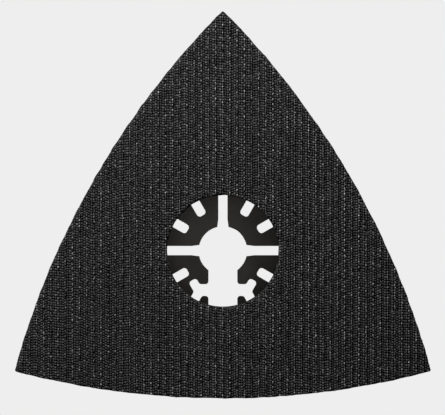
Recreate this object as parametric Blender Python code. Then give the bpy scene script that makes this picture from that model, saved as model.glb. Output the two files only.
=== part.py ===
"""A delta sanding pad: a stamped steel hub riveted to a moulded plate, on a foam cushion with a hook cloth.

Metres, +Z up, towards the machine that drives the pad. The cloth's working face lies on z = 0, the tip of
the triangle points along +Y, and the origin is the middle of the triangle's box. Outlines are drawn about
the hub's axis, which is also the triangle's centroid, and then moved to their place in that box.
"""

import math

import bmesh
import bpy
from mathutils import Vector

MM = 0.001

# Pad outline: an equilateral triangle whose sides bulge outwards.
PAD_SIDE = 93.0 * MM
SIDE_BULGE = 6.05 * MM
PAD_CORNER_RADIUS = 0.6 * MM
WELL_DIAMETER = 25.0 * MM

# Layers, from the working face up.
HOOK_CLOTH_THICKNESS = 2.0 * MM
ADHESIVE_THICKNESS = 0.2 * MM
FOAM_THICKNESS = 7.0 * MM
BOND_GAP = 0.02 * MM

# Moulded backing plate.
BACKING_THICKNESS = 3.2 * MM
BACKING_INSET = 1.2 * MM
BACKING_CORNER_RADIUS = 3.0 * MM
BACKING_BORE_MARGIN = 1.0 * MM
RIM_WIDTH = 1.8 * MM
RIM_HEIGHT = 1.5 * MM
RIB_WIDTH = 1.6 * MM
RIB_HEIGHT = 1.2 * MM
RIB_SPREAD = math.radians(19.0)
COLLAR_WIDTH = 1.5 * MM
COLLAR_HEIGHT = 0.9 * MM
COLLAR_CLEARANCE = 0.3 * MM
UNION_DEPTH = 0.5 * MM

# Stamped hub: a flat boss, a conical wall and a flange, all of one sheet.
SHEET_THICKNESS = 1.5 * MM
BOSS_RISE = 4.0 * MM
BOSS_MARGIN = 0.9 * MM
WALL_SLOPE = math.radians(60.0)
BEND_RADIUS = 1.8 * MM
FLANGE_GAP = 0.05 * MM

# Cut-outs of the hub, which let it sit on several kinds of arbor.
ARBOR_HOLE_DIAMETER = 10.9 * MM
CROSS_SLOT_WIDTH = 2.07 * MM
CROSS_MOUTH_WIDTH = 2.49 * MM
CROSS_MOUTH_LENGTH = 1.61 * MM
RADIAL_SLOT_WIDTH = 2.05 * MM
RADIAL_SLOT_START = 9.15 * MM
RADIAL_SLOT_LENGTH = 4.65 * MM
OPEN_SLOT_WIDTH = 6.5 * MM
OPEN_SLOT_MARGIN = 0.5 * MM
WING_START = 7.55 * MM
WING_HEIGHT = 2.65 * MM
TOE_SLOT_WIDTH = 1.93 * MM
TOE_SLOT_DROP = 1.74 * MM
TOE_SLOT_REACH = 3.04 * MM
SLOT_CORNER_RADIUS = 0.66 * MM
SLOT_PITCH = math.radians(30.0)
CUT_MARGIN = 1.0 * MM

# Rivets and the washers under their clenched ends.
RIVET_COUNT = 4
RIVET_SHANK_DIAMETER = 3.6 * MM
RIVET_HEAD_DIAMETER = 5.8 * MM
RIVET_HEAD_HEIGHT = 1.6 * MM
RIVET_HEAD_BRIM = 0.35 * MM
RIVET_TAIL_DIAMETER = 5.2 * MM
RIVET_TAIL_HEIGHT = 0.8 * MM
RIVET_TAIL_CHAMFER = 0.5 * MM
RIVET_SEAT_GAP = 0.05 * MM
RIVET_HOLE_CLEARANCE = 0.15 * MM
RIVET_EDGE_MARGIN = 0.9 * MM
WASHER_DIAMETER = 7.2 * MM
WASHER_THICKNESS = 0.6 * MM
POCKET_CLEARANCE = 0.3 * MM

# Facets.
SIDE_STEPS = 20
CORNER_STEPS = 5
WELL_STEPS = 64
HUB_STEPS = 72
BEND_STEPS = 4
FILLET_STEPS = 4
RIVET_STEPS = 24
DOME_STEPS = 4
SMOOTH_ANGLE = math.radians(35.0)
MERGE_DISTANCE = 0.0005 * MM
FILLET_SHARE = 0.49

# Heights of the layers, each resting on the one below.
CLOTH_TOP = HOOK_CLOTH_THICKNESS
HOOK_FILM_BOTTOM = CLOTH_TOP + BOND_GAP
HOOK_FILM_TOP = HOOK_FILM_BOTTOM + ADHESIVE_THICKNESS
FOAM_BOTTOM = HOOK_FILM_TOP + BOND_GAP
FOAM_TOP = FOAM_BOTTOM + FOAM_THICKNESS
PLATE_FILM_BOTTOM = FOAM_TOP + BOND_GAP
PLATE_FILM_TOP = PLATE_FILM_BOTTOM + ADHESIVE_THICKNESS
BACKING_BOTTOM = PLATE_FILM_TOP + BOND_GAP
BACKING_TOP = BACKING_BOTTOM + BACKING_THICKNESS
FLANGE_BOTTOM = BACKING_TOP + FLANGE_GAP
FLANGE_TOP = FLANGE_BOTTOM + SHEET_THICKNESS
BOSS_BOTTOM = FLANGE_BOTTOM + BOSS_RISE
BOSS_TOP = BOSS_BOTTOM + SHEET_THICKNESS

# The triangle's sides are arcs of this radius, and their centres lie this far behind the hub's axis.
SIDE_RADIUS = (PAD_SIDE * PAD_SIDE / 4 + SIDE_BULGE * SIDE_BULGE) / (2 * SIDE_BULGE)
SIDE_APEX = PAD_SIDE / (2 * math.sqrt(3)) + SIDE_BULGE
SIDE_CENTRE = SIDE_RADIUS - SIDE_APEX

# Radii of the hub, from the arbor hole out to the flange's edge.
SLOT_END = RADIAL_SLOT_START + RADIAL_SLOT_LENGTH
BEND_TANGENT = (BEND_RADIUS + SHEET_THICKNESS / 2) * math.tan(WALL_SLOPE / 2)
BOSS_CORNER = SLOT_END + BOSS_MARGIN + BEND_TANGENT
FLANGE_CORNER = BOSS_CORNER + BOSS_RISE / math.tan(WALL_SLOPE)
FLANGE_FLAT = FLANGE_CORNER + BEND_TANGENT
RIVET_CIRCLE = FLANGE_FLAT + RIVET_EDGE_MARGIN + RIVET_HEAD_DIAMETER / 2
FLANGE_EDGE = RIVET_CIRCLE + RIVET_HEAD_DIAMETER / 2 + RIVET_EDGE_MARGIN
BACKING_BORE = SLOT_END + BACKING_BORE_MARGIN

# The rivets stand at equal steps, with the first one half a step from +X, clear of the open slot.
RIVET_STEP = 2 * math.pi / RIVET_COUNT
RIVET_BORE = RIVET_SHANK_DIAMETER / 2 + RIVET_HOLE_CLEARANCE
POCKET_RADIUS = max(WASHER_DIAMETER, RIVET_TAIL_DIAMETER) / 2 + POCKET_CLEARANCE
POCKET_DEPTH = WASHER_THICKNESS + RIVET_TAIL_HEIGHT + RIVET_SEAT_GAP + POCKET_CLEARANCE
POCKET_TOP = BACKING_BOTTOM + POCKET_DEPTH
WASHER_TOP = POCKET_TOP - RIVET_SEAT_GAP
WASHER_BOTTOM = WASHER_TOP - WASHER_THICKNESS
RIVET_TAIL_TOP = WASHER_BOTTOM - RIVET_SEAT_GAP


def clear_scene():
    """Removes every object of the scene."""
    for obj in list(bpy.data.objects):
        bpy.data.objects.remove(obj, do_unlink=True)


def finish(name, colour, roughness, metallic):
    """A plain material of one colour."""
    material = bpy.data.materials.new(name)
    material.use_nodes = True
    shader = material.node_tree.nodes["Principled BSDF"]
    shader.inputs["Base Color"].default_value = (*colour, 1.0)
    shader.inputs["Roughness"].default_value = roughness
    shader.inputs["Metallic"].default_value = metallic
    return material


def polar(radius, angle, centre=Vector((0.0, 0.0))):
    """The point at this radius and angle about a centre."""
    return centre + Vector((radius * math.cos(angle), radius * math.sin(angle)))


def arc(centre, radius, start, end, steps):
    """Points along an arc, both ends included."""
    return [polar(radius, start + (end - start) * i / steps, centre) for i in range(steps + 1)]


def circle(centre, radius, steps):
    """Points round a circle."""
    return [polar(radius, 2 * math.pi * i / steps, centre) for i in range(steps)]


def meeting(point, direction, other_point, other_direction):
    """The point where two straight lines meet."""
    across = direction.x * other_direction.y - direction.y * other_direction.x
    between = other_point - point
    along = (between.x * other_direction.y - between.y * other_direction.x) / across
    return point + direction * along


def side_reach(direction, inset):
    """How far the triangle's outline, drawn in by inset, lies from the hub's axis in a direction."""
    reaches = []
    for side in range(3):
        outwards = polar(1.0, math.radians(30.0 + 120.0 * side))
        lean = SIDE_CENTRE * direction.dot(outwards)
        reaches.append(math.sqrt(lean * lean - SIDE_CENTRE**2 + (SIDE_RADIUS - inset) ** 2) - lean)
    return min(reaches)


def pad_outline(inset, corner_radius):
    """The triangle with bulging sides, drawn in by inset, with its three corners rounded."""
    points = []
    for corner in range(3):
        heading = math.radians(90.0 + 120.0 * corner)
        centre = polar(side_reach(polar(1.0, heading), inset + corner_radius), heading)
        before = polar(-SIDE_CENTRE, heading - math.radians(60.0))
        after = polar(-SIDE_CENTRE, heading + math.radians(60.0))
        turn = (centre - after).angle_signed(centre - before)
        start = heading - abs(turn) / 2
        end = heading + abs(turn) / 2
        points += arc(centre, corner_radius, start, end, CORNER_STEPS)
        following = heading + math.radians(120.0)
        points += arc(after, SIDE_RADIUS - inset, end, following - abs(turn) / 2, SIDE_STEPS)[1:-1]
    return points


def rounded(corners):
    """A polygon of (point, corner radius) pairs. A radius is limited by the sides that meet at its corner."""
    points = []
    for i, (point, radius) in enumerate(corners):
        back = corners[i - 1][0] - point
        ahead = corners[(i + 1) % len(corners)][0] - point
        half_angle = back.angle(ahead) / 2
        shortest = min(back.length, ahead.length)
        tangent = min(radius / math.tan(half_angle), FILLET_SHARE * shortest)
        if tangent <= 0.0:
            points.append(point)
            continue
        start = point + back.normalized() * tangent
        end = point + ahead.normalized() * tangent
        middle = back.normalized() + ahead.normalized()
        centre = point + middle.normalized() * tangent / math.cos(half_angle)
        sweep = (start - centre).angle_signed(end - centre)
        first = math.atan2(start.y - centre.y, start.x - centre.x)
        points += arc(centre, (start - centre).length, first, first - sweep, FILLET_STEPS)
    return points


def turned_points(points, angle):
    """Points turned about the hub's axis."""
    cos = math.cos(angle)
    sin = math.sin(angle)
    return [Vector((p.x * cos - p.y * sin, p.x * sin + p.y * cos)) for p in points]


PAD_TOP = max(p.y for p in pad_outline(0.0, PAD_CORNER_RADIUS))
HUB = Vector((0.0, (SIDE_APEX - PAD_TOP) / 2))
RIVET_PLACES = [polar(RIVET_CIRCLE, RIVET_STEP * (i + 0.5)) for i in range(RIVET_COUNT)]


def new_object(name, mesh_data, material):
    """Puts a finished mesh into the scene as one named object."""
    bmesh.ops.recalc_face_normals(mesh_data, faces=mesh_data.faces)
    mesh = bpy.data.meshes.new(name)
    mesh_data.to_mesh(mesh)
    mesh_data.free()
    mesh.shade_smooth()
    mesh.set_sharp_from_angle(angle=SMOOTH_ANGLE)
    obj = bpy.data.objects.new(name, mesh)
    if material is not None:
        mesh.materials.append(material)
    bpy.context.scene.collection.objects.link(obj)
    return obj


def prism(name, loops, bottom, top, material=None):
    """A flat piece: an outer edge and any holes, as outlines about the hub's axis, drawn upwards."""
    mesh_data = bmesh.new()
    edges = []
    for loop in loops:
        corners = [mesh_data.verts.new((p.x + HUB.x, p.y + HUB.y, bottom)) for p in loop]
        edges += [mesh_data.edges.new((corners[i - 1], corners[i])) for i in range(len(corners))]
    faces = bmesh.ops.triangle_fill(mesh_data, use_beauty=True, use_dissolve=False, edges=edges)["geom"]
    faces = [face for face in faces if isinstance(face, bmesh.types.BMFace)]
    raised = bmesh.ops.extrude_face_region(mesh_data, geom=faces, use_keep_orig=True)["geom"]
    raised = [vert for vert in raised if isinstance(vert, bmesh.types.BMVert)]
    bmesh.ops.translate(mesh_data, verts=raised, vec=(0.0, 0.0, top - bottom))
    return new_object(name, mesh_data, material)


def turning(name, profile, place, steps, material=None):
    """A round piece: (radius, height) points, as a loop or as a line between two points on the axis."""
    mesh_data = bmesh.new()
    axis = Vector((place.x + HUB.x, place.y + HUB.y, 0.0))
    points = [mesh_data.verts.new(axis + Vector((radius, 0.0, height))) for radius, height in profile]
    first = 1 if profile[0][0] == 0.0 else 0
    edges = [mesh_data.edges.new((points[i - 1], points[i])) for i in range(first, len(points))]
    bmesh.ops.spin(
        mesh_data,
        geom=points + edges,
        cent=axis,
        axis=(0.0, 0.0, 1.0),
        angle=2 * math.pi,
        steps=steps,
        use_merge=True,
    )
    bmesh.ops.remove_doubles(mesh_data, verts=mesh_data.verts, dist=MERGE_DISTANCE)
    return new_object(name, mesh_data, material)


def shape_with(obj, operation, tools):
    """Cuts or joins an object with all the tools at once, keeps the result and removes the tools."""
    group = bpy.data.collections.new(obj.name + "_tools")
    bpy.context.scene.collection.children.link(group)
    for tool in tools:
        bpy.context.scene.collection.objects.unlink(tool)
        group.objects.link(tool)
        tool.hide_render = True
        tool.display_type = "WIRE"
    boolean = obj.modifiers.new("shape", "BOOLEAN")
    boolean.operation = operation
    boolean.solver = "EXACT"
    boolean.operand_type = "COLLECTION"
    boolean.collection = group
    graph = bpy.context.evaluated_depsgraph_get()
    mesh = bpy.data.meshes.new_from_object(obj.evaluated_get(graph))
    obj.modifiers.remove(boolean)
    mesh.shade_smooth()
    mesh.set_sharp_from_angle(angle=SMOOTH_ANGLE)
    obj.data = mesh
    for tool in tools:
        bpy.data.objects.remove(tool, do_unlink=True)
    bpy.data.collections.remove(group)


def pad_layer(name, bottom, top, material):
    """One of the layers that are die-cut to the pad's outline, with the round well through it."""
    well = circle(Vector((0.0, 0.0)), WELL_DIAMETER / 2, WELL_STEPS)
    return prism(name, [pad_outline(0.0, PAD_CORNER_RADIUS), well], bottom, top, material)


def plate_loops():
    """The backing plate's outline and its bore, which its adhesive shares."""
    bore = circle(Vector((0.0, 0.0)), BACKING_BORE, WELL_STEPS)
    return [pad_outline(BACKING_INSET, BACKING_CORNER_RADIUS), bore]


def backing_plate(material):
    """The moulded plate: a slab with a rim, a collar round the hub, ribs to the corners and rivet holes."""
    middle = Vector((0.0, 0.0))
    plate = prism("backing_plate", plate_loops(), BACKING_BOTTOM, BACKING_TOP, material)
    sunk = BACKING_TOP - UNION_DEPTH

    rim_inside = pad_outline(BACKING_INSET + RIM_WIDTH, BACKING_CORNER_RADIUS - RIM_WIDTH / 2)
    additions = [prism("rim", [plate_loops()[0], rim_inside], sunk, BACKING_TOP + RIM_HEIGHT)]
    collar_inside = FLANGE_EDGE + COLLAR_CLEARANCE
    collar_loops = [
        circle(middle, collar_inside + COLLAR_WIDTH, HUB_STEPS),
        circle(middle, collar_inside, HUB_STEPS),
    ]
    additions.append(prism("collar", collar_loops, sunk, BACKING_TOP + COLLAR_HEIGHT))
    corner_centre = side_reach(Vector((0.0, 1.0)), BACKING_INSET + BACKING_CORNER_RADIUS)
    corner_reach = corner_centre + BACKING_CORNER_RADIUS - RIM_WIDTH / 2
    for corner in range(3):
        for spread in (-RIB_SPREAD, 0.0, RIB_SPREAD):
            heading = math.radians(90.0 + 120.0 * corner) + spread
            start = collar_inside + COLLAR_WIDTH / 2
            end = min(side_reach(polar(1.0, heading), BACKING_INSET + RIM_WIDTH / 2), corner_reach)
            rib = [
                Vector((start, -RIB_WIDTH / 2)),
                Vector((end, -RIB_WIDTH / 2)),
                Vector((end, RIB_WIDTH / 2)),
                Vector((start, RIB_WIDTH / 2)),
            ]
            additions.append(prism("rib", [turned_points(rib, heading)], sunk, BACKING_TOP + RIB_HEIGHT))
    shape_with(plate, "UNION", additions)

    cuts = []
    for place in RIVET_PLACES:
        hole = circle(place, RIVET_BORE, RIVET_STEPS)
        pocket = circle(place, POCKET_RADIUS, RIVET_STEPS)
        cuts.append(prism("hole", [hole], BACKING_BOTTOM, BACKING_TOP + CUT_MARGIN))
        cuts.append(prism("pocket", [pocket], BACKING_BOTTOM - CUT_MARGIN, POCKET_TOP))
    shape_with(plate, "DIFFERENCE", cuts)
    return plate


def sheet_profile():
    """The hub's section: a line from the arbor hole over the wall to the flange, given the sheet's thickness."""
    half = SHEET_THICKNESS / 2
    bend = BEND_RADIUS + half
    boss = BOSS_BOTTOM + half
    flange = FLANGE_BOTTOM + half
    middle = [(Vector((ARBOR_HOLE_DIAMETER / 2, boss)), math.pi / 2)]
    boss_bend = Vector((BOSS_CORNER - BEND_TANGENT, boss - bend))
    flange_bend = Vector((FLANGE_CORNER + BEND_TANGENT, flange + bend))
    for i in range(BEND_STEPS + 1):
        normal = math.pi / 2 - WALL_SLOPE * i / BEND_STEPS
        middle.append((polar(bend, normal, boss_bend), normal))
    for i in range(BEND_STEPS + 1):
        normal = math.pi / 2 - WALL_SLOPE * (BEND_STEPS - i) / BEND_STEPS
        middle.append((polar(-bend, normal, flange_bend), normal))
    middle.append((Vector((FLANGE_EDGE, flange)), math.pi / 2))
    upper = [polar(half, normal, point) for point, normal in middle]
    lower = [polar(-half, normal, point) for point, normal in middle]
    return [(p.x, p.y) for p in upper + lower[::-1]]


def radial_slot():
    """One of the hub's short radial slots, lying along +X."""
    half = RADIAL_SLOT_WIDTH / 2
    corners = [(RADIAL_SLOT_START, -half), (SLOT_END, -half), (SLOT_END, half), (RADIAL_SLOT_START, half)]
    return rounded([(Vector(corner), SLOT_CORNER_RADIUS) for corner in corners])


def cross_slot():
    """One of the hub's long slots, lying along +X, with its flared mouth inside the arbor hole."""
    half = CROSS_SLOT_WIDTH / 2
    mouth = CROSS_MOUTH_WIDTH / 2
    hole = ARBOR_HOLE_DIAMETER / 2
    neck = hole + CROSS_MOUTH_LENGTH
    lower_side = [
        (Vector((hole / 2, -mouth)), 0.0),
        (Vector((hole, -mouth)), 0.0),
        (Vector((neck, -half)), 0.0),
        (Vector((SLOT_END, -half)), SLOT_CORNER_RADIUS),
    ]
    upper_side = [(Vector((point.x, -point.y)), radius) for point, radius in reversed(lower_side)]
    return rounded(lower_side + upper_side)


def open_slot():
    """The slot that runs out along -Y past the wall, with a wing and two crossing toe slots on each side."""
    half = OPEN_SLOT_WIDTH / 2
    wing_top = Vector((0.0, -WING_START))
    wing_bottom = Vector((0.0, -WING_START - WING_HEIGHT))
    level = Vector((1.0, 0.0))
    out = Vector((-math.sin(SLOT_PITCH), -math.cos(SLOT_PITCH)))
    across = Vector((-out.y, out.x))
    back = Vector((-math.sin(SLOT_PITCH), math.cos(SLOT_PITCH)))
    back_across = Vector((-back.y, back.x))
    drop = WING_START + TOE_SLOT_DROP
    crossing = Vector((-drop * math.tan(SLOT_PITCH), -drop))
    radial = across * RADIAL_SLOT_WIDTH / 2
    toe = back_across * TOE_SLOT_WIDTH / 2
    toe_end = crossing + back * TOE_SLOT_REACH
    slot_end = out * SLOT_END
    left_side = [
        (Vector((-half, -WING_START)), SLOT_CORNER_RADIUS),
        (meeting(wing_top, level, crossing - toe, back), SLOT_CORNER_RADIUS),
        (toe_end - toe, SLOT_CORNER_RADIUS),
        (toe_end + toe, SLOT_CORNER_RADIUS),
        (meeting(crossing + toe, back, -radial, out), SLOT_CORNER_RADIUS),
        (slot_end - radial, SLOT_CORNER_RADIUS),
        (slot_end + radial, SLOT_CORNER_RADIUS),
        (meeting(wing_bottom, level, radial, out), SLOT_CORNER_RADIUS),
        (Vector((-half, -WING_START - WING_HEIGHT)), SLOT_CORNER_RADIUS),
        (Vector((-half, -FLANGE_FLAT - OPEN_SLOT_MARGIN)), half),
    ]
    right_side = [(Vector((-point.x, point.y)), radius) for point, radius in reversed(left_side)]
    mouth = [(Vector((half, 0.0)), 0.0), (Vector((-half, 0.0)), 0.0)]
    return rounded(left_side + right_side + mouth)


def arbor_plate(material):
    """The stamped hub, with every cut-out that an arbor's pins or screw could use and the rivets' holes."""
    plate = turning("arbor_plate", sheet_profile(), Vector((0.0, 0.0)), HUB_STEPS, material)
    low = FLANGE_BOTTOM - CUT_MARGIN
    high = BOSS_TOP + CUT_MARGIN
    cuts = [prism("open_slot", [open_slot()], low, high)]
    for quarter in range(3):
        cuts.append(prism("cross_slot", [turned_points(cross_slot(), math.pi / 2 * quarter)], low, high))
    for step in (1, 2, 4, 5, 7, 11):
        cuts.append(prism("radial_slot", [turned_points(radial_slot(), SLOT_PITCH * step)], low, high))
    for place in RIVET_PLACES:
        cuts.append(prism("rivet_hole", [circle(place, RIVET_BORE, RIVET_STEPS)], low, high))
    shape_with(plate, "DIFFERENCE", cuts)
    return plate


def rivet(name, place, material):
    """A domed rivet: head on the hub's flange, shank through hub and plate, clenched end below the washer."""
    head_bottom = FLANGE_TOP + RIVET_SEAT_GAP
    head = RIVET_HEAD_DIAMETER / 2
    dome = RIVET_HEAD_HEIGHT - RIVET_HEAD_BRIM
    shank = RIVET_SHANK_DIAMETER / 2
    tail = RIVET_TAIL_DIAMETER / 2
    profile = [(0.0, RIVET_TAIL_TOP - RIVET_TAIL_HEIGHT)]
    profile.append((tail - RIVET_TAIL_CHAMFER, RIVET_TAIL_TOP - RIVET_TAIL_HEIGHT))
    profile.append((tail, RIVET_TAIL_TOP))
    profile += [(shank, RIVET_TAIL_TOP), (shank, head_bottom), (head, head_bottom)]
    for i in range(DOME_STEPS + 1):
        angle = math.pi / 2 * i / DOME_STEPS
        profile.append((head * math.cos(angle), head_bottom + RIVET_HEAD_BRIM + dome * math.sin(angle)))
    return turning(name, profile, place, RIVET_STEPS, material)


def rivet_washer(name, place, material):
    """The flat washer that a rivet's clenched end bears on."""
    hole = circle(place, RIVET_BORE, RIVET_STEPS)
    rim = circle(place, WASHER_DIAMETER / 2, RIVET_STEPS)
    return prism(name, [rim, hole], WASHER_BOTTOM, WASHER_TOP, material)


def main():
    """Builds the pad from the working face up."""
    clear_scene()
    hook = finish("hook_nylon", (0.022, 0.022, 0.022), 0.55, 0.0)
    film = finish("adhesive_film", (0.035, 0.033, 0.030), 0.35, 0.0)
    foam = finish("foam", (0.030, 0.030, 0.031), 0.90, 0.0)
    moulding = finish("moulded_nylon", (0.020, 0.020, 0.021), 0.50, 0.0)
    coated = finish("coated_steel", (0.018, 0.018, 0.017), 0.45, 0.0)
    plated = finish("plated_steel", (0.56, 0.56, 0.55), 0.32, 1.0)

    pad_layer("hook_cloth", 0.0, CLOTH_TOP, hook)
    pad_layer("hook_adhesive", HOOK_FILM_BOTTOM, HOOK_FILM_TOP, film)
    pad_layer("foam_pad", FOAM_BOTTOM, FOAM_TOP, foam)
    prism("plate_adhesive", plate_loops(), PLATE_FILM_BOTTOM, PLATE_FILM_TOP, film)
    backing_plate(moulding)
    arbor_plate(coated)
    for number, place in enumerate(RIVET_PLACES, start=1):
        rivet(f"rivet_{number}", place, plated)
        rivet_washer(f"rivet_washer_{number}", place, plated)


main()
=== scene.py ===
"""Looks of a delta sanding pad: woven hook cloth, foam cushion, moulded plate, stamped hub and rivets.

Everything is in metres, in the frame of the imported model: the hooks point down to z = 0 and the hub faces up.
"""

import logging
import math
import random
from collections.abc import Callable
from dataclasses import dataclass
from enum import Enum
from typing import Any, ClassVar

import bmesh
import bpy
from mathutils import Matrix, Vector, noise

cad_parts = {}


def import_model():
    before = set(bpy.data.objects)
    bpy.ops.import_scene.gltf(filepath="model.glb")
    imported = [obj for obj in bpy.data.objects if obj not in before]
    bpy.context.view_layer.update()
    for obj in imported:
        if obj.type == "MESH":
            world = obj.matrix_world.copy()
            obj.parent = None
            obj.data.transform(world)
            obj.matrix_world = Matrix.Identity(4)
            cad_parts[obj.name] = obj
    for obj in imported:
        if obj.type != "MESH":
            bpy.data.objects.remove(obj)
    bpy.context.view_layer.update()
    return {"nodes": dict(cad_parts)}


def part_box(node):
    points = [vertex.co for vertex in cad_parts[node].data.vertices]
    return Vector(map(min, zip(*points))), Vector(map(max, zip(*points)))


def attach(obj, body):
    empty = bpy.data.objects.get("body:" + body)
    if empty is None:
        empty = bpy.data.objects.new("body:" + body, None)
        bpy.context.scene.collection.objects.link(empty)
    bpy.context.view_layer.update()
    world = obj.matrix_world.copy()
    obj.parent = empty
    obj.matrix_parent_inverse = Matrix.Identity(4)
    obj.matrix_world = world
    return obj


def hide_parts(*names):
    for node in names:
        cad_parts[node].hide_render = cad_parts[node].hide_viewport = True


LOG = logging.getLogger("delta_pad")
MM = 0.001
BODY = "root"
TURN = "turn"

# Points of a mesh that are closer than this are one.
WELD = 0.002 * MM

# A repeat of the weave is a column of filament and two of warp, and a pick is one knuckle long.
REPEAT = 3
COLUMN = 1.6 * MM / REPEAT
PICK = 0.575 * MM

Colour = tuple[float, float, float]
Place = tuple[float, float, float]
Span = tuple[float, float]

WHITE: Colour = (1.0, 1.0, 1.0)
UNIT: Span = (0.0, 1.0)

# Noise stays about 0.5, so a finish maps a part of its range.
NOISE_CORE: Span = (0.35, 0.65)
NOISE_BULK: Span = (0.30, 0.70)


class Slot(Enum):
    """The record's material slots that the new pieces belong to."""

    HOOK = "hook_nylon"
    FOAM = "foam"
    MOULDING = "moulded_nylon"
    COATING = "coated_steel"
    PLATING = "plated_steel"


class Yarn(Enum):
    """The sets of yarns in the hook cloth."""

    WARP = "warp"
    FILAMENT = "filament"
    WEFT = "weft"


class Half(Enum):
    """Which part of the pad a piece covers."""

    LEFT = -1
    WHOLE = 0
    RIGHT = 1


class HookDraw(Enum):
    """What differs from hook to hook, each with its own random numbers."""

    ACROSS = 1
    ALONG = 2
    TILT = 3
    LEAN = 4
    TWIST = 5
    SPAN = 6
    HEIGHT = 7


def math_node(operation: str, swapped: bool = False) -> "Callable[[Wire, Wire | float], Wire]":
    """Makes one operator of a wire.

    Args:
        operation: Blender's name for what the Math node does.
        swapped: whether the wire is the operator's right side.

    Returns:
        The method.
    """

    def method(wire: "Wire", other: "Wire | float") -> "Wire":
        """Adds the Math node and gives its result."""
        first, second = (other, wire) if swapped else (wire, other)
        return wire.graph.node("ShaderNodeMath", {"operation": operation}, {0: first, 1: second})

    return method


class Wire:
    """A node's output socket, whose arithmetic adds Math nodes to the same tree."""

    __add__ = math_node("ADD")
    __radd__ = math_node("ADD", swapped=True)
    __sub__ = math_node("SUBTRACT")
    __rsub__ = math_node("SUBTRACT", swapped=True)
    __mul__ = math_node("MULTIPLY")
    __rmul__ = math_node("MULTIPLY", swapped=True)
    __truediv__ = math_node("DIVIDE")
    __pow__ = math_node("POWER")
    __mod__ = math_node("FLOORED_MODULO")
    __lt__ = math_node("LESS_THAN")
    __gt__ = math_node("GREATER_THAN")

    def __init__(self, graph: "Graph", socket: bpy.types.NodeSocket) -> None:
        """Keeps the socket and the graph that it belongs to."""
        self.graph = graph
        self.socket = socket

    def out(self, name: str) -> "Wire":
        """Another output of the same node."""
        return Wire(self.graph, Graph.pick(self.socket.node.outputs, name))

    def called(self, operation: str) -> "Wire":
        """A Math node of one value, such as ROUND or COSINE."""
        return self.graph.node("ShaderNodeMath", {"operation": operation}, {0: self})


class Graph:
    """Adds nodes to one tree of a material, a world or a mesh recipe."""

    def __init__(self, tree: bpy.types.NodeTree) -> None:
        """Keeps the tree."""
        self.tree = tree

    @staticmethod
    def pick(sockets: Any, key: "str | int") -> bpy.types.NodeSocket:
        """Finds a socket.

        Args:
            sockets: a node's inputs or outputs.
            key: the socket's place, identifier or name.

        Returns:
            The socket.
        """
        if isinstance(key, int):
            return sockets[key]
        for socket in sockets:
            if socket.identifier == key:
                return socket
        return next(socket for socket in sockets if socket.name == key and socket.enabled)

    def feed(self, target: bpy.types.NodeSocket, value: Any) -> None:
        """Sets an input socket.

        Args:
            target: the socket.
            value: a wire to link it to, or a plain value.
        """
        if isinstance(value, Wire):
            self.tree.links.new(value.socket, target)
        else:
            target.default_value = value

    def node(
        self,
        kind: str,
        settings: "dict[str, Any] | None" = None,
        sockets: "dict[str | int, Any] | None" = None,
        output: "str | int" = 0,
    ) -> Wire:
        """Adds any node.

        Args:
            kind: Blender's name for the node's type.
            settings: the node's own settings, set first.
            sockets: values or wires for its inputs.
            output: which output comes back.

        Returns:
            That output.
        """
        made = self.tree.nodes.new(kind)
        for key, value in (settings or {}).items():
            setattr(made, key, value)
        for key, value in (sockets or {}).items():
            self.feed(self.pick(made.inputs, key), value)
        return Wire(self, self.pick(made.outputs, output))


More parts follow.
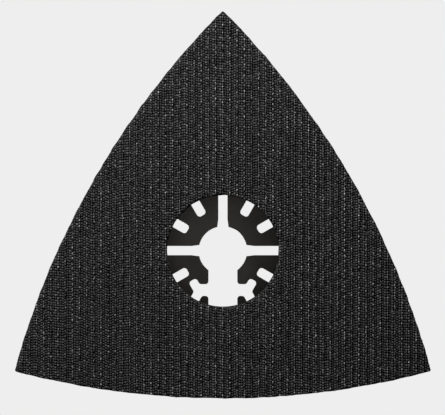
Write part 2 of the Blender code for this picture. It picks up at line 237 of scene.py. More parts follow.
class Surface(Graph):
    """The node tree of one material, with its Principled shader."""

    def __init__(self, name: str) -> None:
        """Starts an empty material.

        Args:
            name: the material's name.
        """
        self.material = bpy.data.materials.new(name)
        self.material.use_nodes = True
        super().__init__(self.material.node_tree)
        self.shader = self.tree.nodes["Principled BSDF"]
        self.place = self.node("ShaderNodeTexCoord", output="Object")

    def cloud(self, size: float, detail: float = 2.0, stretch: Place = (1.0, 1.0, 1.0)) -> Wire:
        """Noise over the piece.

        Args:
            size: about how large one blotch is, in metres.
            detail: how many finer layers it has.
            stretch: how much longer a blotch is along each axis.

        Returns:
            A value about 0.5.
        """
        lengths = tuple(size * share for share in stretch)
        scaled = self.node("ShaderNodeVectorMath", {"operation": "DIVIDE"}, {0: self.place, 1: lengths})
        return self.node("ShaderNodeTexNoise", {}, {"Vector": scaled, "Scale": 1.0, "Detail": detail})

    def axes(self) -> tuple[Wire, Wire, Wire]:
        """The three coordinates of a point of the piece."""
        split = self.node("ShaderNodeSeparateXYZ", {}, {0: self.place})
        return split, split.out("Y"), split.out("Z")

    def dice(self, first: Wire, second: "Wire | float") -> Wire:
        """A random value from 0 to 1 for each pair of numbers."""
        pair = self.node("ShaderNodeCombineXYZ", {}, {0: first, 1: second})
        return self.node("ShaderNodeTexWhiteNoise", {"noise_dimensions": "2D"}, {"Vector": pair}, "Value")

    def cells(self, size: float) -> Wire:
        """Distance from the nearest of scattered points that lie about size apart."""
        sockets = {"Vector": self.place, "Scale": 1.0 / size}
        return self.node("ShaderNodeTexVoronoi", {"feature": "F1"}, sockets, "Distance")

    def between(self, value: Wire, given: Span, wanted: Span) -> Wire:
        """Maps the ends of one range to those of another, and stops there."""
        sockets = {"From Min": given[0], "From Max": given[1], "To Min": wanted[0], "To Max": wanted[1]}
        return self.node("ShaderNodeMapRange", {}, {"Value": value, **sockets})

    def mixed(self, factor: Wire, first: Colour, second: Colour) -> Wire:
        """A colour between two."""
        sockets = {"Factor_Float": factor, "A_Color": (*first, 1.0), "B_Color": (*second, 1.0)}
        return self.node("ShaderNodeMix", {"data_type": "RGBA"}, sockets, "Result_Color")

    def bump(self, height: Wire, depth: float) -> Wire:
        """A normal from a height of 0 to 1 over this depth in metres."""
        sockets = {"Height": height, "Distance": depth, "Strength": 1.0}
        return self.node("ShaderNodeBump", {}, sockets, "Normal")

    @staticmethod
    def blended(first: Wire, second: Wire, share: float) -> Wire:
        """A share of one value and the rest of another."""
        return first * share + second * (1.0 - share)

    def close(self, **sockets: Any) -> bpy.types.Material:
        """Sets the shader.

        Args:
            **sockets: values or wires, named as the shader's inputs with _ for a space.

        Returns:
            The finished material.
        """
        for key, value in sockets.items():
            self.feed(self.shader.inputs[key.replace("_", " ")], value)
        return self.material


@dataclass(frozen=True)
class YarnFinish:
    """Black nylon yarn: every ply of every knuckle catches the light a little differently, and painted shade
    darkens the dips between knuckles and the parts that lie deeper in the cloth.

    Attributes:
        beaded: whether knuckles are counted along each yarn, or else in straight rows across the cloth.
        column_share: how much of its brightness a column draws at random.
        column_draw: a number that keeps the columns' draws apart from the knuckles'.
        lesser: how bright the last column of each repeat is, as a share of the others.
        alternate: how much darker every other knuckle is.
        sparse: the power that makes bright knuckles rare.
        bead_share: how much of its brightness a knuckle draws at random.
        crest: the height where the yarn is brightest.
        trough: the height where it is darkest.
        trough_shade: how bright it is there, as painted shade that darkens the yarn from crest to trough.
    """

    name: str
    dark: Colour
    light: Colour
    rough: Span
    beaded: bool = False
    gloss: float = 0.2
    ply: float = COLUMN / 2
    column_share: float = 0.30
    column_draw: float = 0.25
    lesser: float = 1.0
    alternate: float = 0.0
    sparse: float = 1.85
    bead_share: float = 0.92
    crest: float = 0.90 * MM
    trough: float = 1.32 * MM
    trough_shade: float = 0.10

    def material(self) -> bpy.types.Material:
        """Builds the finish.

        Returns:
            The material.
        """
        surface = Surface(self.name)
        x, y, z = surface.axes()
        turn = y / PICK
        if self.beaded:
            turn = surface.node("ShaderNodeAttribute", {"attribute_name": TURN}, output="Fac")
        count = turn.called("ROUND")
        bead = surface.dice((x / self.ply).called("FLOOR"), count)
        shine = bead**self.sparse * self.bead_share + (1.0 - self.bead_share)
        # Painted shade along each knuckle: brightest at its crest, darker in the dips between knuckles.
        swell = surface.between((turn * math.tau).called("COSINE"), (-1.0, 1.0), UNIT)
        number = (x / COLUMN).called("ROUND")
        column = surface.dice(number, self.column_draw) * self.column_share + (1.0 - self.column_share)
        last = number % float(REPEAT) > REPEAT / 2
        column = column * (1.0 - last * (1.0 - self.lesser))
        column = column * (1.0 - (count + number) % 2.0 * self.alternate)
        # Painted shade: the yarn grows darker from its crest down to its trough, deeper in the cloth.
        depth = surface.between(z, (self.crest, self.trough), (1.0, self.trough_shade))
        return surface.close(
            Base_Color=surface.mixed(shine * swell * column * depth, self.dark, self.light),
            Roughness=surface.between(bead, UNIT, self.rough),
            Specular_IOR_Level=self.gloss,
        )


@dataclass(frozen=True)
class FoamFinish:
    """Closed-cell foam, cut through so that its cells are open, with painted shade that darkens the open cells.
    """

    name: str = "cut_foam"
    wall: Colour = (0.040, 0.040, 0.042)
    # The colour of the painted shade in the open cells.
    hollow_shade: Colour = (0.012, 0.012, 0.013)
    cell: float = 0.55 * MM
    cell_rim: Span = (0.15, 0.55)
    cell_share: float = 0.7
    fine_cell: float = 0.2475 * MM
    fine_rim: Span = (0.1, 0.6)
    fine_share: float = 0.3
    depth: float = 0.12 * MM
    stain: float = 4.0 * MM
    stain_swing: float = 0.5
    rough: Span = (0.98, 0.82)

    def material(self) -> bpy.types.Material:
        """Builds the finish.

        Returns:
            The material.
        """
        surface = Surface(self.name)
        # Painted shade: the middles of the open cells are darker, as shade in their hollows.
        cells = surface.between(surface.cells(self.cell), self.cell_rim, (0.0, self.cell_share))
        fine = surface.between(surface.cells(self.fine_cell), self.fine_rim, (0.0, self.fine_share))
        pits = cells + fine
        stain = surface.cloud(self.stain) * self.stain_swing + (1.0 - self.stain_swing / 2)
        return surface.close(
            Base_Color=surface.mixed(pits * stain, self.hollow_shade, self.wall),
            Roughness=surface.between(pits, UNIT, self.rough),
            Normal=surface.bump(pits, self.depth),
        )


@dataclass(frozen=True)
class FilmFinish:
    """The edge of an adhesive film, with a faint uneven gloss."""

    name: str = "bond_film"
    dull: Colour = (0.020, 0.019, 0.017)
    clear: Colour = (0.060, 0.055, 0.047)
    blotch: float = 1.4 * MM
    rough: Span = (0.28, 0.50)
    ripple: float = 0.3 * MM
    ripple_depth: float = 0.02 * MM

    def material(self) -> bpy.types.Material:
        """Builds the finish.

        Returns:
            The material.
        """
        surface = Surface(self.name)
        cloud = surface.cloud(self.blotch, detail=3.0)
        return surface.close(
            Base_Color=surface.mixed(surface.between(cloud, NOISE_CORE, UNIT), self.dull, self.clear),
            Roughness=surface.between(cloud, NOISE_BULK, self.rough),
            Normal=surface.bump(surface.cloud(self.ripple), self.ripple_depth),
        )


@dataclass(frozen=True)
class MouldedFinish:
    """Black filled nylon from a spark-eroded mould, with faint flow marks."""

    name: str = "moulded_black_nylon"
    dark: Colour = (0.012, 0.012, 0.0125)
    pale: Colour = (0.024, 0.024, 0.025)
    grain: float = 0.16 * MM
    grain_depth: float = 0.018 * MM
    grain_rough: Span = (0.42, 0.58)
    flow: float = 9.0 * MM
    flow_stretch: Place = (1.0, 2.5, 1.0)
    flow_share: float = 0.6
    flow_rough: Span = (-0.05, 0.05)

    def material(self) -> bpy.types.Material:
        """Builds the finish.

        Returns:
            The material.
        """
        surface = Surface(self.name)
        grain = surface.cloud(self.grain, detail=3.0)
        flow = surface.cloud(self.flow, detail=4.0, stretch=self.flow_stretch)
        mottle = surface.between(surface.blended(flow, grain, self.flow_share), NOISE_CORE, UNIT)
        rough = surface.between(grain, NOISE_BULK, self.grain_rough)
        return surface.close(
            Base_Color=surface.mixed(mottle, self.dark, self.pale),
            Roughness=rough + surface.between(flow, NOISE_CORE, self.flow_rough),
            Normal=surface.bump(grain, self.grain_depth),
        )


@dataclass(frozen=True)
class CoatedFinish:
    """Steel under a thin black coat, with a fine orange peel and dust in it."""

    name: str
    dark: Colour
    pale: Colour
    roughness: float
    peel: float = 0.7 * MM
    peel_share: float = 0.8
    peel_depth: float = 0.010 * MM
    speck: float = 0.12 * MM
    speck_rough: float = 0.06
    cloud: float = 6.0 * MM
    cloud_share: float = 0.7
    cloud_rough: Span = (-0.06, 0.08)

    def material(self) -> bpy.types.Material:
        """Builds the finish.

        Returns:
            The material.
        """
        surface = Surface(self.name)
        peel = surface.cloud(self.peel, detail=1.0)
        speck = surface.cloud(self.speck, detail=1.0)
        cloud = surface.cloud(self.cloud, detail=4.0)
        tint = surface.between(surface.blended(cloud, speck, self.cloud_share), NOISE_CORE, UNIT)
        rough = surface.between(cloud, NOISE_BULK, self.cloud_rough) + self.roughness
        return surface.close(
            Base_Color=surface.mixed(tint, self.dark, self.pale),
            Roughness=rough + speck * self.speck_rough,
            Normal=surface.bump(surface.blended(peel, speck, self.peel_share), self.peel_depth),
        )


@dataclass(frozen=True)
class PlatedFinish:
    """Bright zinc on steel, with a bluish passivation and fine rubbing marks."""

    name: str = "zinc_plate"
    cool: Colour = (0.54, 0.56, 0.58)
    warm: Colour = (0.66, 0.64, 0.58)
    stain: float = 1.6 * MM
    stain_rough: Span = (0.24, 0.40)
    scratch: float = 0.07 * MM
    scratch_stretch: Place = (1.0, 9.0, 1.0)
    scratch_rough: float = 0.10
    scratch_depth: float = 0.004 * MM

    def material(self) -> bpy.types.Material:
        """Builds the finish.

        Returns:
            The material.
        """
        surface = Surface(self.name)
        stain = surface.cloud(self.stain, detail=4.0)
        marks = surface.cloud(self.scratch, stretch=self.scratch_stretch)
        rough = surface.between(stain, NOISE_BULK, self.stain_rough)
        return surface.close(
            Base_Color=surface.mixed(surface.between(stain, NOISE_BULK, UNIT), self.cool, self.warm),
            Metallic=1.0,
            Roughness=rough + marks * self.scratch_rough,
            Normal=surface.bump(marks, self.scratch_depth),
        )


@dataclass(frozen=True)
class FloorFinish:
    """Matt pale paper that shows from above and is clear from underneath."""

    name: str = "pale_floor"
    dark: Colour = (0.77, 0.77, 0.77)
    pale: Colour = (0.80, 0.80, 0.80)
    grain: float = 3.0 * MM

    def material(self) -> bpy.types.Material:
        """Builds the finish.

        Returns:
            The material.
        """
        surface = Surface(self.name)
        colour = surface.mixed(surface.cloud(self.grain, detail=3.0), self.dark, self.pale)
        material = surface.close(Base_Color=colour, Roughness=1.0, Specular_IOR_Level=0.0)
        back = surface.node("ShaderNodeNewGeometry", output="Backfacing")
        clear = surface.node("ShaderNodeBsdfTransparent")
        front = Wire(surface, surface.shader.outputs[0])
        sided = surface.node("ShaderNodeMixShader", {}, {0: back, 1: front, 2: clear})
        surface.feed(surface.tree.nodes["Material Output"].inputs["Surface"], sided)
        return material


class Recipe(Graph):
    """A Geometry Nodes tree with named inputs, run once to give a plain mesh."""

    def __init__(self, name: str) -> None:
        """Starts a tree that takes and gives a mesh.

        Args:
            name: the tree's name.
        """
        super().__init__(bpy.data.node_groups.new(name, "GeometryNodeTree"))
        for way in ("INPUT", "OUTPUT"):
            self.tree.interface.new_socket(name="Geometry", in_out=way, socket_type="NodeSocketGeometry")
        self.entry = self.tree.nodes.new("NodeGroupInput")
        self.values: dict[str, Any] = {}

    def given(self, name: str, value: Any, kind: str = "Float") -> Wire:
        """Adds a named input.

        Args:
            name: what the input is called.
            value: what it is set to.
            kind: Blender's short name for the socket's type.

        Returns:
            The input inside the tree.
        """
        item = self.tree.interface.new_socket(name=name, in_out="INPUT", socket_type=f"NodeSocket{kind}")
        self.values[item.identifier] = value
        return Wire(self, self.pick(self.entry.outputs, item.identifier))

    def geometry(self) -> Wire:
        """The mesh that the tree is run on."""
        return Wire(self, self.entry.outputs[0])

    def vector(self, x: "Wire | float", y: "Wire | float", z: "Wire | float") -> Wire:
        """A vector from three values."""
        return self.node("ShaderNodeCombineXYZ", {}, {0: x, 1: y, 2: z})

    def strewn(self, points: Wire, pattern: bpy.types.Object, **placing: Wire) -> Wire:
        """Puts copies of an object on points.

        Args:
            points: the geometry whose points get a copy each.
            pattern: the object.
            **placing: the copies' Rotation and Scale, where they have them.

        Returns:
            The copies.
        """
        shape = self.given("Pattern", pattern, "Object")
        source = self.node("GeometryNodeObjectInfo", {}, {"Object": shape}, "Geometry")
        sockets = {"Points": points, "Instance": source, **placing}
        return self.node("GeometryNodeInstanceOnPoints", {}, sockets)

    def run(
        self, result: Wire, material: bpy.types.Material, name: str, base: bpy.types.Mesh
    ) -> bpy.types.Object:
        """Ends the tree, runs it and keeps the mesh.

        Args:
            result: the last geometry.
            material: the finish that all of it wears.
            name: the new piece's name.
            base: the mesh that the tree works on.

        Returns:
            The new piece, with no modifier left on it.
        """
        finish = self.given("Finish", material, "Material")
        real = self.node("GeometryNodeRealizeInstances", {}, {"Geometry": result})
        dressed = self.node("GeometryNodeSetMaterial", {}, {"Geometry": real, "Material": finish})
        self.feed(self.tree.nodes.new("NodeGroupOutput").inputs[0], dressed)
        piece = bpy.data.objects.new(name, base)
        bpy.context.scene.collection.objects.link(piece)
        modifier = piece.modifiers.new(name, "NODES")
        modifier.node_group = self.tree
        for identifier, value in self.values.items():
            modifier[identifier] = value
        return Meshes.settled(piece)


class Meshes:
    """Ways to make and dress plain meshes."""

    # Neighbouring facets that turn by less than this are one flat face.
    FLAT_TURN = math.radians(0.5)

    @staticmethod
    def linked(name: str, mesh_data: bmesh.types.BMesh) -> bpy.types.Object:
        """Puts a finished mesh into the scene.

        Args:
            name: the new piece's name.
            mesh_data: the mesh's working data, which is freed.

        Returns:
            The piece.
        """
        mesh = bpy.data.meshes.new(name)
        mesh_data.to_mesh(mesh)
        mesh_data.free()
        piece = bpy.data.objects.new(name, mesh)
        bpy.context.scene.collection.objects.link(piece)
        return piece

    @staticmethod
    def settled(piece: bpy.types.Object) -> bpy.types.Object:
        """Applies all of a piece's modifiers.

        Args:
            piece: the piece.

        Returns:
            The same piece, with a new mesh.
        """
        graph = bpy.context.evaluated_depsgraph_get()
        mesh = bpy.data.meshes.new_from_object(piece.evaluated_get(graph))
        piece.modifiers.clear()
        old = piece.data
        piece.data = mesh
        mesh.name = piece.name
        bpy.data.meshes.remove(old)
        return piece

    @staticmethod
    def dressed(piece: bpy.types.Object, *materials: bpy.types.Material) -> bpy.types.Object:
        """Gives a piece these materials and no others.

        Args:
            piece: the piece.
            *materials: its materials, in the order of its faces' indices.

        Returns:
            The same piece.
        """
        piece.data.materials.clear()
        for material in materials:
            piece.data.materials.append(material)
        return piece

    @staticmethod
    def declared(piece: bpy.types.Object, slot: Slot, *nodes: str) -> bpy.types.Object:
        """Puts a piece on the pad's body.

        Args:
            piece: the piece.
            slot: not used.
            *nodes: the CAD nodes that it stands in for.

        Returns:
            The same piece.
        """
        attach(piece, BODY)
        if nodes:
            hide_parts(*nodes)
        return piece

    @staticmethod
    def creased(piece: bpy.types.Object, angle: float) -> bpy.types.Object:
        """Smooths a piece's shading.

        Args:
            piece: the piece.
            angle: the turn between two faces from which their edge stays sharp.

        Returns:
            The same piece.
        """
        piece.data.shade_smooth()
        piece.data.set_sharp_from_angle(angle=angle)
        return piece

    @staticmethod
    def rings(name: str, loops: "list[list[list[Vector]]]") -> bpy.types.Object:
        """A closed wall for each set of stacked loops, and flat caps between their ends.

        Args:
            name: the new piece's name.
            loops: for each wall, its loops from the bottom up, all of one length.

        Returns:
            The piece, with its faces outwards.
        """
        mesh_data = bmesh.new()
        ends: list[list[bmesh.types.BMEdge]] = [[], []]
        for wall in loops:
            rows = [[mesh_data.verts.new(p) for p in loop] for loop in wall]
            count = len(rows[0])
            for low, high in zip(rows, rows[1:]):
                for i in range(count):
                    j = (i + 1) % count
                    mesh_data.faces.new((low[i], low[j], high[j], high[i]))
            for edges, row in zip(ends, (rows[0], rows[-1])):
                edges += [mesh_data.edges.get((row[i - 1], row[i])) for i in range(count)]
        for edges in ends:
            bmesh.ops.triangle_fill(mesh_data, use_beauty=True, use_dissolve=False, edges=edges)
        bmesh.ops.recalc_face_normals(mesh_data, faces=mesh_data.faces)
        return Meshes.linked(name, mesh_data)

    @staticmethod
    def merged_copy(node: bpy.types.Object, name: str) -> bpy.types.Object:
        """A copy of a CAD node with its loose triangles joined and its flat faces whole.

        Args:
            node: the CAD node.
            name: the new piece's name.

        Returns:
            The piece.
        """
        mesh_data = bmesh.new()
        mesh_data.from_mesh(node.data)
        bmesh.ops.remove_doubles(mesh_data, verts=mesh_data.verts, dist=WELD)
        bmesh.ops.dissolve_degenerate(mesh_data, edges=mesh_data.edges, dist=WELD)
        bmesh.ops.dissolve_limit(
            mesh_data, angle_limit=Meshes.FLAT_TURN, verts=mesh_data.verts, edges=mesh_data.edges
        )
        return Meshes.linked(name, mesh_data)


class RimRounding:
    """Rounds the rims of a piece's level faces, and fills the corners where a wall stands on one."""

    # A level face's normal rises by more than the first of these, and a wall's by less than the second.
    LEVEL = 0.9999
    WALL = 0.3

    # The rounding's reach along a wall and at a sharp corner, as shares of its width.
    DROP = 0.8
    MITRE = 2.0

    # How much of a low step one rounding may take up.
    STEP_SHARE = 0.45

    # At this weight the largest faces alone set a normal, and areas that differ by less than a square of this
    # side count as equal.
    LARGEST_ALONE = 100
    SAME_SIZE = 0.2 * MM

    def __init__(self, piece: bpy.types.Object, width: float) -> None:
        """Insets the piece's level faces.

        Args:
            piece: the piece, which must be one closed mesh.
            width: how far the rounding reaches across a level face.
        """
        self.piece = piece
        self.width = width
        self.mesh_data = bmesh.new()
        self.mesh_data.from_mesh(piece.data)
        self.level = [face for face in self.mesh_data.faces if abs(face.normal.z) > self.LEVEL]
        made = bmesh.ops.inset_region(
            self.mesh_data, faces=self.level, thickness=width, use_boundary=True, use_even_offset=True
        )
        self.rims: list[bmesh.types.BMFace] = made["faces"]
        self.inner = {vert for face in self.level for vert in face.verts}

    def shorten(self) -> None:
        """Draws the far points of sharp corners back towards the rim."""
        longest = self.MITRE * self.width
        for edge in dict.fromkeys(edge for rim in self.rims for edge in rim.edges):
            ends = [vert for vert in edge.verts if vert in self.inner]
            if len(ends) == 1 and edge.calc_length() > longest:
                start = edge.other_vert(ends[0]).co
                ends[0].co = start + longest * (ends[0].co - start).normalized()

    def unfold(self) -> None:
        """Draws the inner ends of each rim together where the inset turned it over."""
        for rim in self.rims:
            runs = {}
            for loop in rim.loops:
                after = loop.link_loop_next.vert
                runs[loop.vert in self.inner, after in self.inner] = after.co - loop.vert.co
            if runs[True, True].dot(runs[False, False]) > 0.0:
                ends = [vert for vert in rim.verts if vert in self.inner]
                middle = sum((vert.co for vert in ends), Vector()) / len(ends)
                for vert in ends:
                    vert.co = middle

    def ways(self) -> "dict[bmesh.types.BMVert, set[float]]":
        """Finds the walls at the rims, and gives the rims there the piece's last material, which on the hub is
        a lighter coat that paints a highlight along its rounded edges.

        Returns:
            For each point of a wall's edge, -1 or 1 for each way that leads down or up such a wall.
        """
        found: dict[bmesh.types.BMVert, set[float]] = {}
        others = {*self.rims, *self.level}
        for rim in self.rims:
            for edge in rim.edges:
                for loop in edge.link_loops:
                    wall = loop.face
                    if wall in others or abs(wall.normal.z) > self.WALL:
                        continue
                    # On the hub the last material is the lighter coat: a painted highlight along the rounded
                    # edges.
                    rim.material_index = len(self.piece.data.materials) - 1
                    inwards = wall.normal.cross(loop.link_loop_next.vert.co - loop.vert.co)
                    for vert in edge.verts:
                        found.setdefault(vert, set()).add(math.copysign(1.0, inwards.z))
        return found

    def sink(self) -> None:
        """Moves the walls' edges along the walls, by a share of the wall where that is low."""
        shifts: dict[bmesh.types.BMVert, float] = {}
        for vert, ways in self.ways().items():
            if len(ways) == 1:
                way = ways.pop()
                ahead = [(edge.other_vert(vert).co.z - vert.co.z) * way for edge in vert.link_edges]
                rooms = [self.STEP_SHARE * rise for rise in ahead if rise > WELD]
                shifts[vert] = way * min([self.DROP * self.width, *rooms])
        for vert, shift in shifts.items():
            vert.co.z += shift

    def refill(self) -> None:
        """Fills the level faces afresh from their rims, so that none of them folds over itself."""
        level = [face for face in self.level if face.is_valid]
        known = set(level)
        sides: dict[tuple[int, float], list[bmesh.types.BMEdge]] = {}
        for face in level:
            up = math.copysign(1.0, face.normal.z)
            rim_edges = [edge for edge in face.edges if not known.issuperset(edge.link_faces)]
            sides.setdefault((round(face.verts[0].co.z / WELD), up), []).extend(rim_edges)
        bmesh.ops.delete(self.mesh_data, geom=level, context="FACES_KEEP_BOUNDARY")
        for (_, up), edges in sides.items():
            made = bmesh.ops.triangle_fill(
                self.mesh_data, use_beauty=True, use_dissolve=True, edges=edges, normal=(0.0, 0.0, up)
            )
            for face in made["geom"]:
                if isinstance(face, bmesh.types.BMFace) and face.is_valid:
                    face.normal_update()
                    if face.normal.z * up < 0.0:
                        face.normal_flip()

    def applied(self, largest_alone: bool) -> bpy.types.Object:
        """Rounds the piece.

        Args:
            largest_alone: whether the largest face at a corner alone sets its normal.

        Returns:
            The piece, with its faces smooth and its normals weighted.
        """
        self.shorten()
        self.unfold()
        self.sink()
        bmesh.ops.remove_doubles(self.mesh_data, verts=self.mesh_data.verts, dist=WELD)
        self.refill()
        self.mesh_data.to_mesh(self.piece.data)
        self.mesh_data.free()
        self.piece.data.shade_smooth()
        normals = self.piece.modifiers.new("normals", "WEIGHTED_NORMAL")
        if largest_alone:
            normals.weight = self.LARGEST_ALONE
            normals.thresh = self.SAME_SIZE**2
        return Meshes.settled(self.piece)


@dataclass(frozen=True)
class PadOutline:
    """The die-cut triangle with bulging sides and the round well through it."""

    side: float = 93.0 * MM
    bulge: float = 6.05 * MM
    corner: float = 0.6 * MM
    least_corner_steps: int = 4
    well: float = 12.5 * MM
    shortest_run: float = 0.4 * MM
    headings: tuple[float, ...] = tuple(math.radians(angle) for angle in (30.0, 150.0, 270.0))

    @property
    def radius(self) -> float:
        """Radius of each side's arc."""
        return (self.side**2 / 4 + self.bulge**2) / (2 * self.bulge)

    @property
    def offset(self) -> float:
        """How far each arc's centre lies behind the hub's axis."""
        return self.radius - self.apex

    @property
    def apex(self) -> float:
        """Distance from the hub's axis to the middle of a side."""
        return self.side / (2 * math.sqrt(3)) + self.bulge

    @property
    def hub(self) -> Vector:
        """The hub's axis."""
        tip = self.reach(math.pi / 2, self.corner) + self.corner
        return Vector((0.0, (self.apex - tip) / 2))

    @property
    def centres(self) -> list[Vector]:
        """Centres of the three sides' arcs."""
        return [self.hub - self.offset * self._towards(heading) for heading in self.headings]

    def reach(self, heading: float, inset: float) -> float:
        """Distance from the hub's axis to the outline.

        Args:
            heading: the way to go.
            inset: how far the outline is drawn in.

        Returns:
            The distance in metres.
        """
        leans = [self.offset * math.cos(heading - side) for side in self.headings]
        radius = self.radius - inset
        return min(math.sqrt(lean**2 - self.offset**2 + radius**2) - lean for lean in leans)

    def spans(self, place: float, axis: int, inset: float) -> list[Span]:
        """The stretches of a straight yarn that lie on the pad.

        Args:
            place: where the yarn lies across its run.
            axis: the axis that it runs along, 0 or 1.
            inset: how far inside the edges it stops.

        Returns:
            (start, end) of each stretch, along the axis.
        """
        low, high = -math.inf, math.inf
        for centre in self.centres:
            square = (self.radius - inset) ** 2 - (place - centre[1 - axis]) ** 2
            if square <= 0.0:
                return []
            low = max(low, centre[axis] - math.sqrt(square))
            high = min(high, centre[axis] + math.sqrt(square))
        parts = [(low, high)]
        square = (self.well + inset) ** 2 - (place - self.hub[1 - axis]) ** 2
        if square > 0.0:
            half = math.sqrt(square)
            parts = [(low, self.hub[axis] - half), (self.hub[axis] + half, high)]
        return [part for part in parts if part[1] - part[0] > self.shortest_run]

    def edge(self, step: float, rounding: float) -> list[tuple[Vector, Vector]]:
        """Points round the outer edge.

        Args:
            step: about how far apart they are.
            rounding: the radius of the corners.

        Returns:
            (point, outward direction) pairs.
        """
        found = []
        between = math.tau / len(self.headings)
        for side in self.headings:
            heading = side + between / 2
            middle = self.hub + self.reach(heading, rounding) * self._towards(heading)
            after = self.hub - self.offset * self._towards(side + between)
            lean = (middle - after).normalized()
            half = math.atan2(lean.y, lean.x) - heading
            half = (half + math.pi) % math.tau - math.pi
            count = max(self.least_corner_steps, round(2 * half * rounding / step))
            for i in range(count):
                out = self._towards(heading - half + 2 * half * i / count)
                found.append((middle + rounding * out, out))
            start = heading + half
            end = heading + between - half
            count = round((end - start) * self.radius / step)
            for i in range(count):
                out = self._towards(start + (end - start) * i / count)
                found.append((after + self.radius * out, out))
        return found

    def rim(self, step: float) -> list[tuple[Vector, Vector]]:
        """Points round the well.

        Args:
            step: about how far apart they are.

        Returns:
            (point, direction out of the material) pairs.
        """
        count = round(math.tau * self.well / step)
        ways = [self._towards(math.tau * i / count) for i in range(count)]
        return [(self.hub + self.well * way, -way) for way in ways]

    def walls(
        self, step: float, rounding: float, heights: list[float], moved: Callable[[Vector, float], float]
    ) -> "list[list[list[Vector]]]":
        """The outer wall and the well's, as loops.

        Args:
            step: about how far apart a loop's points are.
            rounding: the radius of the outer corners.
            heights: the loops' heights, from the bottom up.
            moved: how far out of the material a point moves, from the point and its share of the height.

        Returns:
            The loops of each wall.
        """
        found = []
        for edge in (self.edge(step, rounding), self.rim(step)):
            loops = []
            for level, height in enumerate(heights):
                share = level / (len(heights) - 1)
                pairs = [(point.to_3d() + Vector((0.0, 0.0, height)), out.to_3d()) for point, out in edge]
                loops.append([spot + out * moved(spot, share) for spot, out in pairs])
            found.append(loops)
        return found

    @staticmethod
    def _towards(heading: float) -> Vector:
        """The unit vector along a heading."""
        return Vector((math.cos(heading), math.sin(heading)))


@dataclass(frozen=True)
class YarnSet:
    """One set of yarns: its section, widest at the working face, its waves and its finish.

    A set is one piece, or one for each half of the pad where a single piece would have too many faces.
    """

    width: float
    back_share: float
    thickness: float
    level: float
    rise: float
    pinch: float
    finish: YarnFinish
    halves: tuple[Half, ...] = (Half.WHOLE,)


